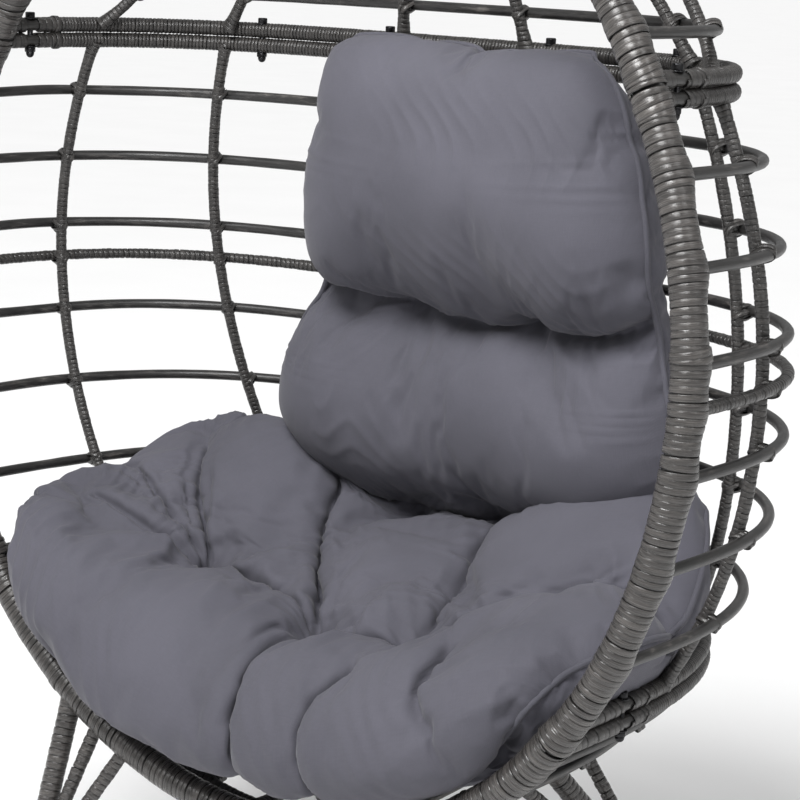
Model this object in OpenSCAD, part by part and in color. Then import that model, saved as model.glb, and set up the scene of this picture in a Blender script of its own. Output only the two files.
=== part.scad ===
// Egg-shaped garden basket chair on splayed legs, wicker over a steel frame.
// The floor is z = 0, the chair faces -Y and its left-right middle plane is x = 0.
// The basket is three welded sections, hood, middle and bowl, bolted together at two levels.

/* [Front opening] */
// Half of the opening's width at its widest, between tube centres
opening_half_w = 468; // [440:1:490]
// Height of the widest level above the floor
opening_mid_z = 662; // [640:1:690]
// Height of the opening's top, at the tube centre
opening_top_z = 1250; // [1200:1:1300]
// Height of the opening's bottom, at the tube centre
opening_bottom_z = 186; // [170:1:200]
// How much the upper half narrows towards its top
upper_taper = 0.32; // [0.2:0.01:0.45]
// How much the lower half stays full towards its bottom
lower_fullness = 0.055; // [0:0.005:0.12]
// Backward lean of the middle section, millimetres per millimetre of height
front_lean = 0.06; // [0.03:0.01:0.09]

/* [Basket depth] */
// Depth of the basket at the lower joint
seat_depth = 434; // [410:1:450]
// Distance below the lower joint at which the bowl would close
bowl_close_drop = 300; // [280:5:340]
// Distance from the front face to the chair's own middle
front_setback = 180; // [170:1:190]

/* [Joints between sections] */
// Height of the lower joint
lower_joint_z = 360; // [355:1:365]
// Height of the upper joint
upper_joint_z = 906; // [900:1:912]
// Distance between the two rails of a joint, centre to centre
rail_gap = 16; // [15:0.5:18]
// Diameter of a wrapped joint rail
rail_d = 14; // [12:0.5:14.5]

/* [Tubes and rods] */
// Diameter of the front tube over its wicker
front_tube_d = 30; // [26:1:36]
// Diameter of a plain horizontal rod
rod_d = 10.5; // [9:0.5:12]
// Diameter of an upright rib over its wicker
rib_d = 11; // [10:0.5:12]
// Gap between the rods and the ribs they are tied to
tie_gap = 0.4; // [0.3:0.1:0.6]
// Diameter of the ring the rear legs carry
base_ring_d = 16; // [14:1:18]

/* [Legs] */
// Diameter of a main leg over its wicker
leg_d = 21; // [18:1:24]
// Diameter of a leg brace over its wicker
brace_d = 13; // [11:0.5:14]
// Height at which the braces meet the main leg
brace_meet_z = 50; // [40:1:60]
// Half of the distance between left and right feet
foot_half_w = 249; // [230:1:270]
// Distance of the rear feet behind the front face
rear_foot_y = 376; // [360:1:390]
// Distance of the front feet before the front face
front_foot_y = 55; // [45:1:65]
// Diameter of a foot cap on the floor
foot_d = 32; // [28:1:36]

/* [Hardware] */
// Thread diameter of the joint bolts
bolt_d = 6; // [5:1:6]
// Extra diameter of the bolt holes
hole_play = 0.6; // [0.4:0.1:0.8]

/* [Cushion] */
// Height of the seat cushion's top
seat_top_z = 462; // [450:1:470]
// Height of the sewn fold between seat and back
back_fold_z = 458; // [455:1:460]
// Height of the sewn fold between back and head
head_fold_z = 640; // [620:1:660]
// Height of the head bolster's top
cushion_top_z = 925; // [900:1:930]
// Half of the head bolster's width
head_half_w = 222; // [200:1:230]

/* [Hidden] */
$fn = 48;
hood_rod_z = [950, 1018, 1086, 1150];
middle_rod_z = [842, 770, 695, 659, 602, 522, 438];
bowl_rod_z = [327, 280];
base_ring_z = 235;
// Ribs and bolts sit at these angles round the basket, 0 at the front tube and 90 at the back
rib_angles = [86, 51.5, 16];
upper_bolt_angles = [2.5, 60, 84];
lower_bolt_angles = [7, 60, 84];
// Where each hood rib ends on the arch, as angles of the opening's outline
rib_end_angles = [86, 78, 67];
slat_angles = [-90, -81.5, -72.5];
inner_arc_d = 11;
inner_arc_setback = 28;
front_leg_angles = [-60, -65.5, -71];
rear_leg_angles = [27, 17, 46];
head_h = 6;
head_d = 10;
nut_h = 5;
foot_h = 24;
rod_sides = 8;
tube_sides = 12;
level_steps = 24;
wicker = [0.21, 0.2, 0.2];
wicker_light = [0.3, 0.29, 0.28];
cloth = [0.42, 0.42, 0.46];
steel = [0.08, 0.08, 0.08];
rubber = [0.05, 0.05, 0.05];
hood_rail_z = upper_joint_z + rail_gap / 2;
middle_top_rail_z = upper_joint_z - rail_gap / 2;
middle_bottom_rail_z = lower_joint_z + rail_gap / 2;
bowl_rail_z = lower_joint_z - rail_gap / 2;
rod_out = (rod_d + tie_gap) / 2;
rib_in = -(rib_d + tie_gap) / 2;

// ---- Shape of the basket ----

function unit(v) = v / norm(v);
function spread(from, to, n) = [for (i = [0:n]) from + (to - from) * i / n];

// Outline of the front opening as [x, z], with the angle running from -90 at the
// bottom through 0 at the widest level to 90 at the top
function opening_point(angle) =
  let (s = sin(angle), c = cos(angle))
  angle >= 0
  ? [opening_half_w * c / (1 + upper_taper * s * s),
     opening_mid_z + (opening_top_z - opening_mid_z) * s]
  : [opening_half_w * c * (1 + lower_fullness * s * s),
     opening_mid_z + (opening_mid_z - opening_bottom_z) * s];
function opening_angle(z) =
  z > opening_mid_z
  ? asin((z - opening_mid_z) / (opening_top_z - opening_mid_z))
  : asin((z - opening_mid_z) / (opening_mid_z - opening_bottom_z));
function half_width(z) = opening_point(opening_angle(z))[0];

// The bowl and the hood stand upright and the middle section leans back
function front_y(z) =
  front_lean * min(max(z - lower_joint_z, 0), upper_joint_z - lower_joint_z) - front_setback;

function middle_depth(h) = seat_depth - 0.428 * h + 0.000214 * h * h;
function depth(z) =
  let (h = z - lower_joint_z)
  z < lower_joint_z
  ? seat_depth * sqrt(1 - pow(h / bowl_close_drop, 2))
  : z < upper_joint_z
  ? middle_depth(h)
  : let (s = (z - upper_joint_z) / (opening_top_z - upper_joint_z))
    middle_depth(upper_joint_z - lower_joint_z) * sqrt(1 - s * s) * (1 - 0.25 * s);

// A level outline is a superellipse, squarer at the top of the basket than at its bottom
function squareness(z) = 3.05 + 0.0009 * (z - lower_joint_z - 250);
function signed_pow(v, p) = sign(v) * pow(abs(v), p);
function level_point(z, angle, out = 0) =
  let (p = 2 / squareness(z))
  [(half_width(z) + out) * signed_pow(cos(angle), p),
   front_y(z) + (depth(z) + out) * signed_pow(sin(angle), p)];
function level_point3(z, angle, out = 0) =
  let (p = level_point(z, angle, out)) [p[0], p[1], z];
// Angles that space points evenly along a level outline, from 0 to 180
function even_angle(z, a) =
  let (p = squareness(z) / 2) atan2(signed_pow(sin(a), p), signed_pow(cos(a), p));

// ---- Bent tubes ----

// A round bar swept along a path; up is any direction that the path never takes
module swept_bar(path, d, sides, up) {
  n = len(path);
  tangents = [for (i = [0:n - 1]) unit(path[min(i + 1, n - 1)] - path[max(i - 1, 0)])];
  points = [for (i = [0:n - 1])
    let (side = unit(cross(tangents[i], up)), across = cross(tangents[i], side))
    for (k = [0:sides - 1])
      path[i] + (side * cos(360 * k / sides) + across * sin(360 * k / sides)) * d / 2];
  skin = [for (i = [0:n - 2], k = [0:sides - 1])
    let (a = i * sides + k, b = i * sides + (k + 1) % sides)
    each [[a, b, b + sides], [a, b + sides, a + sides]]];
  caps = [[for (k = [0:sides - 1]) sides - 1 - k],
          [for (k = [0:sides - 1]) (n - 1) * sides + k]];
  polyhedron(points = points, faces = concat(skin, caps));
}

// A straight round bar between two points
module bar(p, q, d) {
  v = q - p;
  translate(p)
    rotate([0, acos(v[2] / norm(v)), atan2(v[1], v[0])])
      cylinder(h = norm(v), d = d);
}

// Drawn for the right side, mirrored for the left
module on_side(side) {
  mirror([side == "left" ? 1 : 0, 0, 0]) children();
}
module both_sides() {
  children();
  mirror([1, 0, 0]) children();
}

// One level tube from the right front tube round the back to the left one. It follows the
// basket's outline at its own height, or at the height given as plan_z
module level_tube(z, d, out = 0, plan_z = undef) {
  outline_z = is_undef(plan_z) ? z : plan_z;
  swept_bar([for (a = spread(0, 180, level_steps))
               let (p = level_point(outline_z, even_angle(outline_z, a), out)) [p[0], p[1], z]],
            d, rod_sides, [0, 0, 1]);
}

// A stretch of the front opening's outline between two angles
function outline_point(angle, back = 0) =
  let (p = opening_point(angle)) [p[0], front_y(p[1]) + back, p[1]];
module outline_tube(from, to, steps, d, sides, back = 0) {
  swept_bar([for (a = spread(from, to, steps)) outline_point(a, back)], d, sides, [0, 1, 0]);
}

// ---- Upright ribs ----

module rib(side, path) {
  color(wicker) on_side(side) swept_bar(path, rib_d, rod_sides, [1, 0, 0]);
}

module level_rib(side, place, from_z, to_z, steps) {
  angle = rib_angles[place];
  rib(side, [for (z = spread(from_z, to_z, steps)) level_point3(z, angle, rib_in)]);
}

// A hood rib closes in evenly towards its end on the arch, lying on the hood's surface
function surface_y(z, x, out = 0) =
  let (n = squareness(z), reach = min(abs(x) / (half_width(z) + out), 1))
  front_y(z) + (depth(z) + out) * pow(1 - pow(reach, n), 1 / n);
module hood_rib(side, place) {
  start = level_point3(hood_rail_z, rib_angles[place], rib_in);
  end = opening_point(rib_end_angles[place]);
  rib(side, [for (s = spread(0, 1, 14))
    let (z = start[2] + (end[1] - start[2]) * s, x = start[0] + (end[0] - start[0]) * s)
    [x, surface_y(z, x, rib_in * (1 - s)), z]]);
}

// ---- Joint rails ----

module at_bolts(joint_z) {
  for (a = joint_z == upper_joint_z ? upper_bolt_angles : lower_bolt_angles)
    both_sides()
      translate(level_point3(joint_z, a)) children();
}

// Both rails of a joint follow the outline midway between them and are drilled for its bolts
module joint_rail(z, joint_z) {
  color(wicker)
    difference() {
      level_tube(z, rail_d, plan_z = joint_z);
      at_bolts(joint_z) cylinder(h = 4 * rail_d, d = bolt_d + hole_play, center = true);
    }
}

// ---- Hood ----

module hood_arch() {
  from = opening_angle(hood_rail_z - 6);
  color(wicker) outline_tube(from, 180 - from, 32, front_tube_d, tube_sides);
}
module hood_rail() {
  joint_rail(hood_rail_z, upper_joint_z);
}
module hood_rod(i) {
  color(wicker_light) level_tube(hood_rod_z[i], rod_d, rod_out);
}

// ---- Middle section ----

module middle_tube(side) {
  from = opening_angle(middle_bottom_rail_z - 6);
  to = opening_angle(middle_top_rail_z + 6);
  color(wicker) on_side(side) outline_tube(from, to, 16, front_tube_d, tube_sides);
}
module middle_top_rail() {
  joint_rail(middle_top_rail_z, upper_joint_z);
}
module middle_bottom_rail() {
  joint_rail(middle_bottom_rail_z, lower_joint_z);
}
module middle_rib(side, place) {
  level_rib(side, place, middle_bottom_rail_z, middle_top_rail_z, 14);
}
module middle_rod(i) {
  color(wicker_light) level_tube(middle_rod_z[i], rod_d, rod_out);
}

// ---- Bowl ----

module bowl_arc() {
  to = opening_angle(bowl_rail_z + 6);
  color(wicker) outline_tube(-180 - to, to, 20, front_tube_d, tube_sides);
}
// A thinner tube runs close behind the arc
module bowl_inner_arc() {
  to = opening_angle(bowl_rod_z[1]);
  color(wicker)
    outline_tube(-180 - to, to, 16, inner_arc_d, rod_sides, inner_arc_setback);
}
module bowl_rail() {
  joint_rail(bowl_rail_z, lower_joint_z);
}
module bowl_rib(side, place) {
  level_rib(side, place, base_ring_z, bowl_rail_z, 5);
}
module bowl_rod(i) {
  color(wicker_light) level_tube(bowl_rod_z[i], rod_d, rod_out);
}
module bowl_base_ring() {
  color(wicker) level_tube(base_ring_z, base_ring_d);
}

// The slats run from the inner arc back to the base ring
module slat(angle) {
  front = opening_point(angle);
  bar([front[0], front_y(0) + inner_arc_setback, front[1]],
      [front[0], surface_y(base_ring_z, front[0]), base_ring_z], rod_d);
}
module bowl_slats() {
  color(wicker_light) {
    slat(slat_angles[0]);
    for (i = [1, 2]) both_sides() slat(slat_angles[i]);
  }
}

// ---- Legs ----

function leg_top(place, i) =
  place == "front" ? outline_point(front_leg_angles[i])
  : level_point3(base_ring_z, rear_leg_angles[i], 0);
function leg_meet(place) =
  [foot_half_w, front_y(0) + (place == "front" ? -front_foot_y : rear_foot_y), brace_meet_z];
// The main leg runs on past the braces to this height inside its foot cap
function leg_foot(place, z) =
  let (top = leg_top(place, 0), meet = leg_meet(place))
  meet + (meet - top) * (brace_meet_z - z) / (top[2] - brace_meet_z);

module leg(place, side) {
  color(wicker) on_side(side) bar(leg_foot(place, 10), leg_top(place, 0), leg_d);
}
module leg_brace(place, side, i) {
  color(wicker) on_side(side) bar(leg_meet(place), leg_top(place, i), brace_d);
}
module foot_cap(place) {
  base = leg_foot(place, 0);
  difference() {
    translate([base[0], base[1], 0]) cylinder(h = foot_h, d1 = foot_d, d2 = foot_d - 4);
    bar(leg_foot(place, 9.8), leg_foot(place, 60), leg_d + 0.2);
  }
}
module foot_caps() {
  color(rubber)
    both_sides() {
      foot_cap("front");
      foot_cap("rear");
    }
}

// ---- Bolts ----

top_of_stack = rail_gap / 2 + rail_d / 2;
module at_joints() {
  for (z = [lower_joint_z, upper_joint_z]) at_bolts(z) children();
}
module joint_bolts() {
  color(steel)
    at_joints()
      difference() {
        union() {
          translate([0, 0, top_of_stack]) cylinder(h = head_h, d = head_d);
          translate([0, 0, -top_of_stack - nut_h])
            cylinder(h = 2 * top_of_stack + nut_h + 1, d = bolt_d);
        }
        translate([0, 0, top_of_stack + head_h - 3]) cylinder(h = 4, d = bolt_d - 0.5, $fn = 6);
      }
}
module joint_nuts() {
  color(steel)
    at_joints()
      translate([0, 0, -top_of_stack])
        difference() {
          union() {
            translate([0, 0, -nut_h]) cylinder(h = nut_h, d = 11.5, $fn = 6);
            translate([0, 0, -nut_h - 1.5]) cylinder(h = 2, d = 8.5);
            translate([0, 0, -nut_h - 1.5]) sphere(d = 8.5);
          }
          translate([0, 0, -nut_h - 0.2]) cylinder(h = nut_h + 1, d = bolt_d + 0.05);
        }
}

// ---- Cushion ----

// One level slice of a cushion, a superellipse in plan
module cushion_slice(z, half_w, near, far) {
  translate([0, (near + far) / 2, z])
    linear_extrude(1)
      polygon([for (a = [0:7.5:352.5])
        [half_w * signed_pow(cos(a), 0.7), (far - near) / 2 * signed_pow(sin(a), 0.7)]]);
}
module seat_cushion() {
  face = front_y(lower_joint_z);
  color(cloth)
    hull() {
      cushion_slice(252, 150, face + 65, face + 340);
      cushion_slice(300, 235, face + 45, face + 385);
      cushion_slice(345, 280, face + 10, face + 385);
      cushion_slice(410, 335, face + 5, face + 375);
      cushion_slice(seat_top_z - 1, 285, face + 60, face + 355);
    }
}
module back_cushion() {
  color(cloth)
    hull() {
      cushion_slice(back_fold_z, 235, 60, 195);
      cushion_slice(540, 262, 25, 172);
      cushion_slice(head_fold_z - 1, 225, 35, 138);
    }
}
module head_cushion() {
  color(cloth)
    hull() {
      cushion_slice(head_fold_z - 5, 205, 40, 138);
      cushion_slice(700, head_half_w, 5, 128);
      cushion_slice(840, head_half_w, 5, 98);
      cushion_slice(cushion_top_z, 175, 40, 84);
    }
}

hood_arch();
hood_rail();
hood_rod(0);  // hood_rod_1
hood_rod(1);  // hood_rod_2
hood_rod(2);  // hood_rod_3
hood_rod(3);  // hood_rod_4
hood_rib("left", 0);  // hood_rib_left_rear
hood_rib("left", 1);  // hood_rib_left_side
hood_rib("left", 2);  // hood_rib_left_front
hood_rib("right", 0);  // hood_rib_right_rear
hood_rib("right", 1);  // hood_rib_right_side
hood_rib("right", 2);  // hood_rib_right_front
middle_tube("left");  // middle_tube_left
middle_tube("right");  // middle_tube_right
middle_top_rail();
middle_bottom_rail();
middle_rod(0);  // middle_rod_1
middle_rod(1);  // middle_rod_2
middle_rod(2);  // middle_rod_3
middle_rod(3);  // middle_rod_4
middle_rod(4);  // middle_rod_5
middle_rod(5);  // middle_rod_6
middle_rod(6);  // middle_rod_7
middle_rib("left", 0);  // middle_rib_left_rear
middle_rib("left", 1);  // middle_rib_left_side
middle_rib("left", 2);  // middle_rib_left_front
middle_rib("right", 0);  // middle_rib_right_rear
middle_rib("right", 1);  // middle_rib_right_side
middle_rib("right", 2);  // middle_rib_right_front
bowl_arc();
bowl_inner_arc();
bowl_rail();
bowl_rod(0);  // bowl_rod_1
bowl_rod(1);  // bowl_rod_2
bowl_base_ring();
bowl_rib("left", 0);  // bowl_rib_left_rear
bowl_rib("left", 1);  // bowl_rib_left_side
bowl_rib("left", 2);  // bowl_rib_left_front
bowl_rib("right", 0);  // bowl_rib_right_rear
bowl_rib("right", 1);  // bowl_rib_right_side
bowl_rib("right", 2);  // bowl_rib_right_front
bowl_slats();
leg("front", "left");  // leg_front_left
leg("front", "right");  // leg_front_right
leg("rear", "left");  // leg_rear_left
leg("rear", "right");  // leg_rear_right
leg_brace("front", "left", 1);  // leg_brace_front_left_1
leg_brace("front", "left", 2);  // leg_brace_front_left_2
leg_brace("front", "right", 1);  // leg_brace_front_right_1
leg_brace("front", "right", 2);  // leg_brace_front_right_2
leg_brace("rear", "left", 1);  // leg_brace_rear_left_1
leg_brace("rear", "left", 2);  // leg_brace_rear_left_2
leg_brace("rear", "right", 1);  // leg_brace_rear_right_1
leg_brace("rear", "right", 2);  // leg_brace_rear_right_2
foot_caps();
joint_bolts();
joint_nuts();
seat_cushion();
back_cushion();
head_cushion();
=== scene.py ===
"""Free-standing egg basket chair: wound wicker frame, black joint bolts and a tufted cushion."""

import math

import bpy
import numpy as np
from mathutils import Matrix, Vector


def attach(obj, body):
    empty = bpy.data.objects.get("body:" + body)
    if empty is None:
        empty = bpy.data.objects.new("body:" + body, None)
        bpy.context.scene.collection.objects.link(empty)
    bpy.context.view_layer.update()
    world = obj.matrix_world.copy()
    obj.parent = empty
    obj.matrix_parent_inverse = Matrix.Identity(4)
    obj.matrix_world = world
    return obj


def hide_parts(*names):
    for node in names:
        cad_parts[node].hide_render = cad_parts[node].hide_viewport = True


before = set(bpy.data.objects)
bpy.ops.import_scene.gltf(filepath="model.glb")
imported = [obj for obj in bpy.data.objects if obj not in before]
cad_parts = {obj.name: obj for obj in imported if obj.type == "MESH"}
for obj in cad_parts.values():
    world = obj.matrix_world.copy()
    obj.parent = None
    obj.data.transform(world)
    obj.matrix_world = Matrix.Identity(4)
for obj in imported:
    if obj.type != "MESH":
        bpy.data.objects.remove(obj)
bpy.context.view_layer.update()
TAU = 2 * math.pi

# ---- Camera ----

AZIMUTH, ELEVATION, ROLL = 0.71288, 0.20578, 0.03656
DISTANCE = 1.963
TARGET = Vector((0.18385, -0.180, 0.62344))
LENS = 101.48


def link(thing):
    bpy.context.scene.collection.objects.link(thing)


def add_camera():
    ca, sa = math.cos(AZIMUTH), math.sin(AZIMUTH)
    ce, se = math.cos(ELEVATION), math.sin(ELEVATION)
    back = Vector((sa * ce, -ca * ce, se))
    level_right = Vector((ca, sa, 0))
    level_up = back.cross(level_right)
    right = math.cos(ROLL) * level_right + math.sin(ROLL) * level_up
    up = math.cos(ROLL) * level_up - math.sin(ROLL) * level_right
    data = bpy.data.cameras.new("camera")
    data.sensor_width = 36
    data.lens = LENS
    camera = bpy.data.objects.new("camera", data)
    turn = Matrix((right, up, back)).transposed().to_4x4()
    camera.matrix_world = Matrix.Translation(TARGET + DISTANCE * back) @ turn
    link(camera)
    bpy.context.scene.camera = camera


add_camera()

# ---- Shape of the basket, in metres, as part.scad has it ----

HALF_W, MID_Z, TOP_Z, BOTTOM_Z = 0.468, 0.662, 1.250, 0.186
UPPER_TAPER, LOWER_FULLNESS, FRONT_LEAN, SETBACK = 0.32, 0.055, 0.06, 0.180
SEAT_DEPTH, BOWL_DROP = 0.434, 0.300
LOWER_Z, UPPER_Z = 0.360, 0.906
RAIL_GAP, RAIL_R, FRONT_R, ROD_R, RIB_R, RING_R = 0.016, 0.007, 0.0145, 0.00525, 0.0055, 0.008
LEG_R, BRACE_R = 0.0105, 0.0065
ROD_OUT, RIB_IN = 0.00545, -0.0057
HOOD_RODS = (0.950, 1.018, 1.086, 1.150)
MIDDLE_RODS = (0.842, 0.770, 0.695, 0.659, 0.602, 0.522, 0.438)
BOWL_RODS = (0.327, 0.280)
RING_Z = 0.235
RIBS = {"rear": 86, "side": 51.5, "front": 16}
RIB_ENDS = {"rear": 86, "side": 78, "front": 67}
UPPER_BOLTS, LOWER_BOLTS = (2.5, 60, 84), (7, 60, 84)
SLATS = (-90, -81.5, -72.5)
INNER_ARC_R, INNER_ARC_BACK = 0.0055, 0.028
LEG_TOPS = {"front": (-60, -65.5, -71), "rear": (27, 17, 46)}
FOOT_X, MEET_Z = 0.249, 0.050
FOOT_Y = {"front": -SETBACK - 0.055, "rear": -SETBACK + 0.376}
STACK = RAIL_GAP / 2 + RAIL_R
RAIL_Z = {
    "hood_rail": UPPER_Z + RAIL_GAP / 2,
    "middle_top_rail": UPPER_Z - RAIL_GAP / 2,
    "middle_bottom_rail": LOWER_Z + RAIL_GAP / 2,
    "bowl_rail": LOWER_Z - RAIL_GAP / 2,
}


def spow(v, p):
    return np.sign(v) * np.abs(v) ** p


def together(*values):
    """Values that fit together, side by side on the last axis of one array."""
    return np.stack(np.broadcast_arrays(*values), -1)


def opening_point(a):
    s, c = np.sin(a), np.cos(a)
    upper = HALF_W * c / (1 + UPPER_TAPER * s * s)
    lower = HALF_W * c * (1 + LOWER_FULLNESS * s * s)
    rise = np.where(s >= 0, TOP_Z - MID_Z, MID_Z - BOTTOM_Z)
    return np.where(s >= 0, upper, lower), MID_Z + rise * s


def opening_angle(z):
    z = np.asarray(z, float)
    rise = np.where(z > MID_Z, TOP_Z - MID_Z, MID_Z - BOTTOM_Z)
    return np.arcsin(np.clip((z - MID_Z) / rise, -1, 1))


def half_width(z):
    return opening_point(opening_angle(z))[0]


def front_y(z):
    return FRONT_LEAN * np.clip(np.asarray(z) - LOWER_Z, 0, UPPER_Z - LOWER_Z) - SETBACK


def middle_depth(h):
    return SEAT_DEPTH - 0.428 * h + 0.214 * h * h


def depth(z):
    h = np.asarray(z, float) - LOWER_Z
    bowl = SEAT_DEPTH * np.sqrt(np.clip(1 - (h / BOWL_DROP) ** 2, 0, 1))
    s = np.clip((h + LOWER_Z - UPPER_Z) / (TOP_Z - UPPER_Z), 0, 1)
    hood = middle_depth(UPPER_Z - LOWER_Z) * np.sqrt(1 - s * s) * (1 - 0.25 * s)
    return np.where(h < 0, bowl, np.where(h < UPPER_Z - LOWER_Z, middle_depth(h), hood))


def squareness(z):
    return 3.05 + 0.9 * (np.asarray(z) - LOWER_Z - 0.250)


def level_point(z, a, out=0.0):
    """A point of the basket's level outline at height z; a runs from 0 at the right front."""
    z = np.asarray(z, float)
    p = 2 / squareness(z)
    x = (half_width(z) + out) * spow(np.cos(a), p)
    y = front_y(z) + (depth(z) + out) * spow(np.sin(a), p)
    return together(x, y, z)


def even_angle(z, a):
    p = squareness(z) / 2
    return np.arctan2(spow(np.sin(a), p), spow(np.cos(a), p))


def level_path(z, out=0.0, plan_z=None, steps=180):
    plan = z if plan_z is None else plan_z
    path = level_point(plan, even_angle(plan, np.linspace(0, math.pi, steps)), out)
    path[:, 2] = z
    return path


def surface_y(z, x, out=0.0):
    n = squareness(z)
    reach = np.minimum(np.abs(x) / (half_width(z) + out), 1)
    return front_y(z) + (depth(z) + out) * (1 - reach**n) ** (1 / n)


def outline_path(start, end, back=0.0, steps=120):
    x, z = opening_point(np.linspace(start, end, steps))
    return np.stack([x, front_y(z) + back, z], -1)


# ---- Mesh building ----


def wander(x, seed, spread=1.0):
    """Smooth noise from -spread to spread, with a new value at each whole x."""
    x = np.asarray(x, float)
    first = int(math.floor(x.min()))
    values = np.random.default_rng(seed).uniform(-spread, spread, int(x.max()) - first + 3)
    i = np.floor(x).astype(int)
    t = x - i
    t = t * t * (3 - 2 * t)
    return values[i - first] * (1 - t) + values[i - first + 1] * t


def unit(v):
    return v / np.linalg.norm(v, axis=-1, keepdims=True)


def points_of(mesh):
    """The mesh's points as rows of x, y and z."""
    values = np.empty(len(mesh.vertices) * 3)
    mesh.vertices.foreach_get("co", values)
    return values.reshape(-1, 3)


class Line:
    """A path with its frames, read at distances along it."""

    def __init__(self, path, up):
        path = np.asarray(path, float)
        self.at = np.concatenate([[0], np.cumsum(np.linalg.norm(np.diff(path, axis=0), axis=1))])
        self.length = self.at[-1]
        tangent = unit(np.gradient(path, self.at, axis=0))
        side = unit(np.cross(tangent, up))
        self.table = np.concatenate([path, tangent, side, np.cross(tangent, side)], 1)

    def read(self, s):
        s = np.clip(s, 0, self.length)
        cols = np.stack([np.interp(s, self.at, c) for c in self.table.T], -1)
        return cols[..., :3], cols[..., 3:6], cols[..., 6:9], cols[..., 9:12]

    def nearest(self, point):
        """Distance along the line of its point nearest to the one given."""
        return self.at[np.argmin(np.linalg.norm(self.table[:, :3] - np.asarray(point), axis=1))]


class Shape:
    """Grids of points gathered into one mesh, each point with its place on its strip."""

    def __init__(self):
        self.points, self.marks, self.faces, self.counts, self.slots = [], [], [], [], []
        self.total = 0

    def grid(self, points, marks, material=0, ring=False, closed_rows=False):
        """Rows of points; ring joins the last column to the first, closed_rows the last row."""
        rows, cols = points.shape[:2]
        index = np.arange(rows * cols).reshape(rows, cols)
        a = index if closed_rows else index[:-1]
        b = np.roll(index, -1, 0) if closed_rows else index[1:]
        if ring:
            quads = np.stack([a, np.roll(a, -1, 1), np.roll(b, -1, 1), b], -1).reshape(-1, 4)
        else:
            quads = np.stack([a[:, :-1], a[:, 1:], b[:, 1:], b[:, :-1]], -1).reshape(-1, 4)
        faces = [quads]
        if ring and not closed_rows:
            faces += [index[0][None, ::-1], index[-1][None]]
        flat = points.reshape(-1, 3)
        if ring:
            p = flat[quads] - flat.mean(0)
            volume = np.einsum("ij,ij->i", p[:, 0], np.cross(p[:, 1], p[:, 2])).sum()
            volume += np.einsum("ij,ij->i", p[:, 0], np.cross(p[:, 2], p[:, 3])).sum()
            if volume < 0:
                faces = [f[:, ::-1] for f in faces]
        for f in faces:
            self.faces.append((f + self.total).ravel())
            self.counts.append(np.full(len(f), f.shape[1]))
            self.slots.append(np.full(len(f), material))
        self.points.append(flat)
        self.marks.append(np.broadcast_to(marks, points.shape).reshape(-1, 3))
        self.total += len(flat)

    def build(self, name, body, slot, materials, nodes):
        points = np.concatenate(self.points).astype(np.float32)
        corners = np.concatenate(self.faces).astype(np.int32)
        counts = np.concatenate(self.counts)
        mesh = bpy.data.meshes.new(name)
        mesh.vertices.add(len(points))
        mesh.vertices.foreach_set("co", points.ravel())
        mesh.loops.add(len(corners))
        mesh.loops.foreach_set("vertex_index", corners)
        mesh.polygons.add(len(counts))
        starts = np.concatenate([[0], np.cumsum(counts)[:-1]]).astype(np.int32)
        mesh.polygons.foreach_set("loop_start", starts)
        mesh.polygons.foreach_set("material_index", np.concatenate(self.slots).astype(np.int32))
        mesh.polygons.foreach_set("use_smooth", np.ones(len(counts), bool))
        mark = mesh.attributes.new("strip", "FLOAT_VECTOR", "POINT")
        mark.data.foreach_set("vector", np.concatenate(self.marks).astype(np.float32).ravel())
        mesh.update(calc_edges=True)
        mesh.validate()
        for material in materials:
            mesh.materials.append(material)
        piece = bpy.data.objects.new(name, mesh)
        link(piece)
        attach(piece, body)
        if nodes:
            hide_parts(*nodes)
        return piece


def tube(shape, line, radius, seed, start=0.0, end=None, step=0.006, around=12, material=0,
         wobble=0.03):
    """A plain round bar, slightly uneven, with its ends closed."""
    end = line.length if end is None else end
    s = np.linspace(start, end, max(3, int((end - start) / step)))
    at, _, side, across = line.read(s)
    angle = np.arange(around) * TAU / around
    r = (np.asarray(radius(s) if callable(radius) else radius) * np.ones_like(s))[:, None]
    r = r * (1 + wander(s / 0.03, seed, wobble)[:, None])
    out = np.cos(angle)[None, :, None] * side[:, None] + np.sin(angle)[None, :, None] * across[:, None]
    marks = together(s[:, None], angle[None] / TAU, seed % 97 / 97)
    shape.grid(at[:, None] + out * r[..., None], marks, material, ring=True)


# Cross-section of a wound strip: place along the tube in pitches, height in thicknesses
FLAT_STRIP = np.array([(-0.03, -0.4), (0.0, 0.60), (0.11, 0.98), (0.5, 1.10), (0.89, 0.98),
                       (1.0, 0.60), (1.03, -0.4)])
ROUND_STRIP = np.array([(-0.02, -0.3), (0.1, 0.6), (0.5, 1.05), (0.9, 0.6), (1.02, -0.3)])


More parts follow.
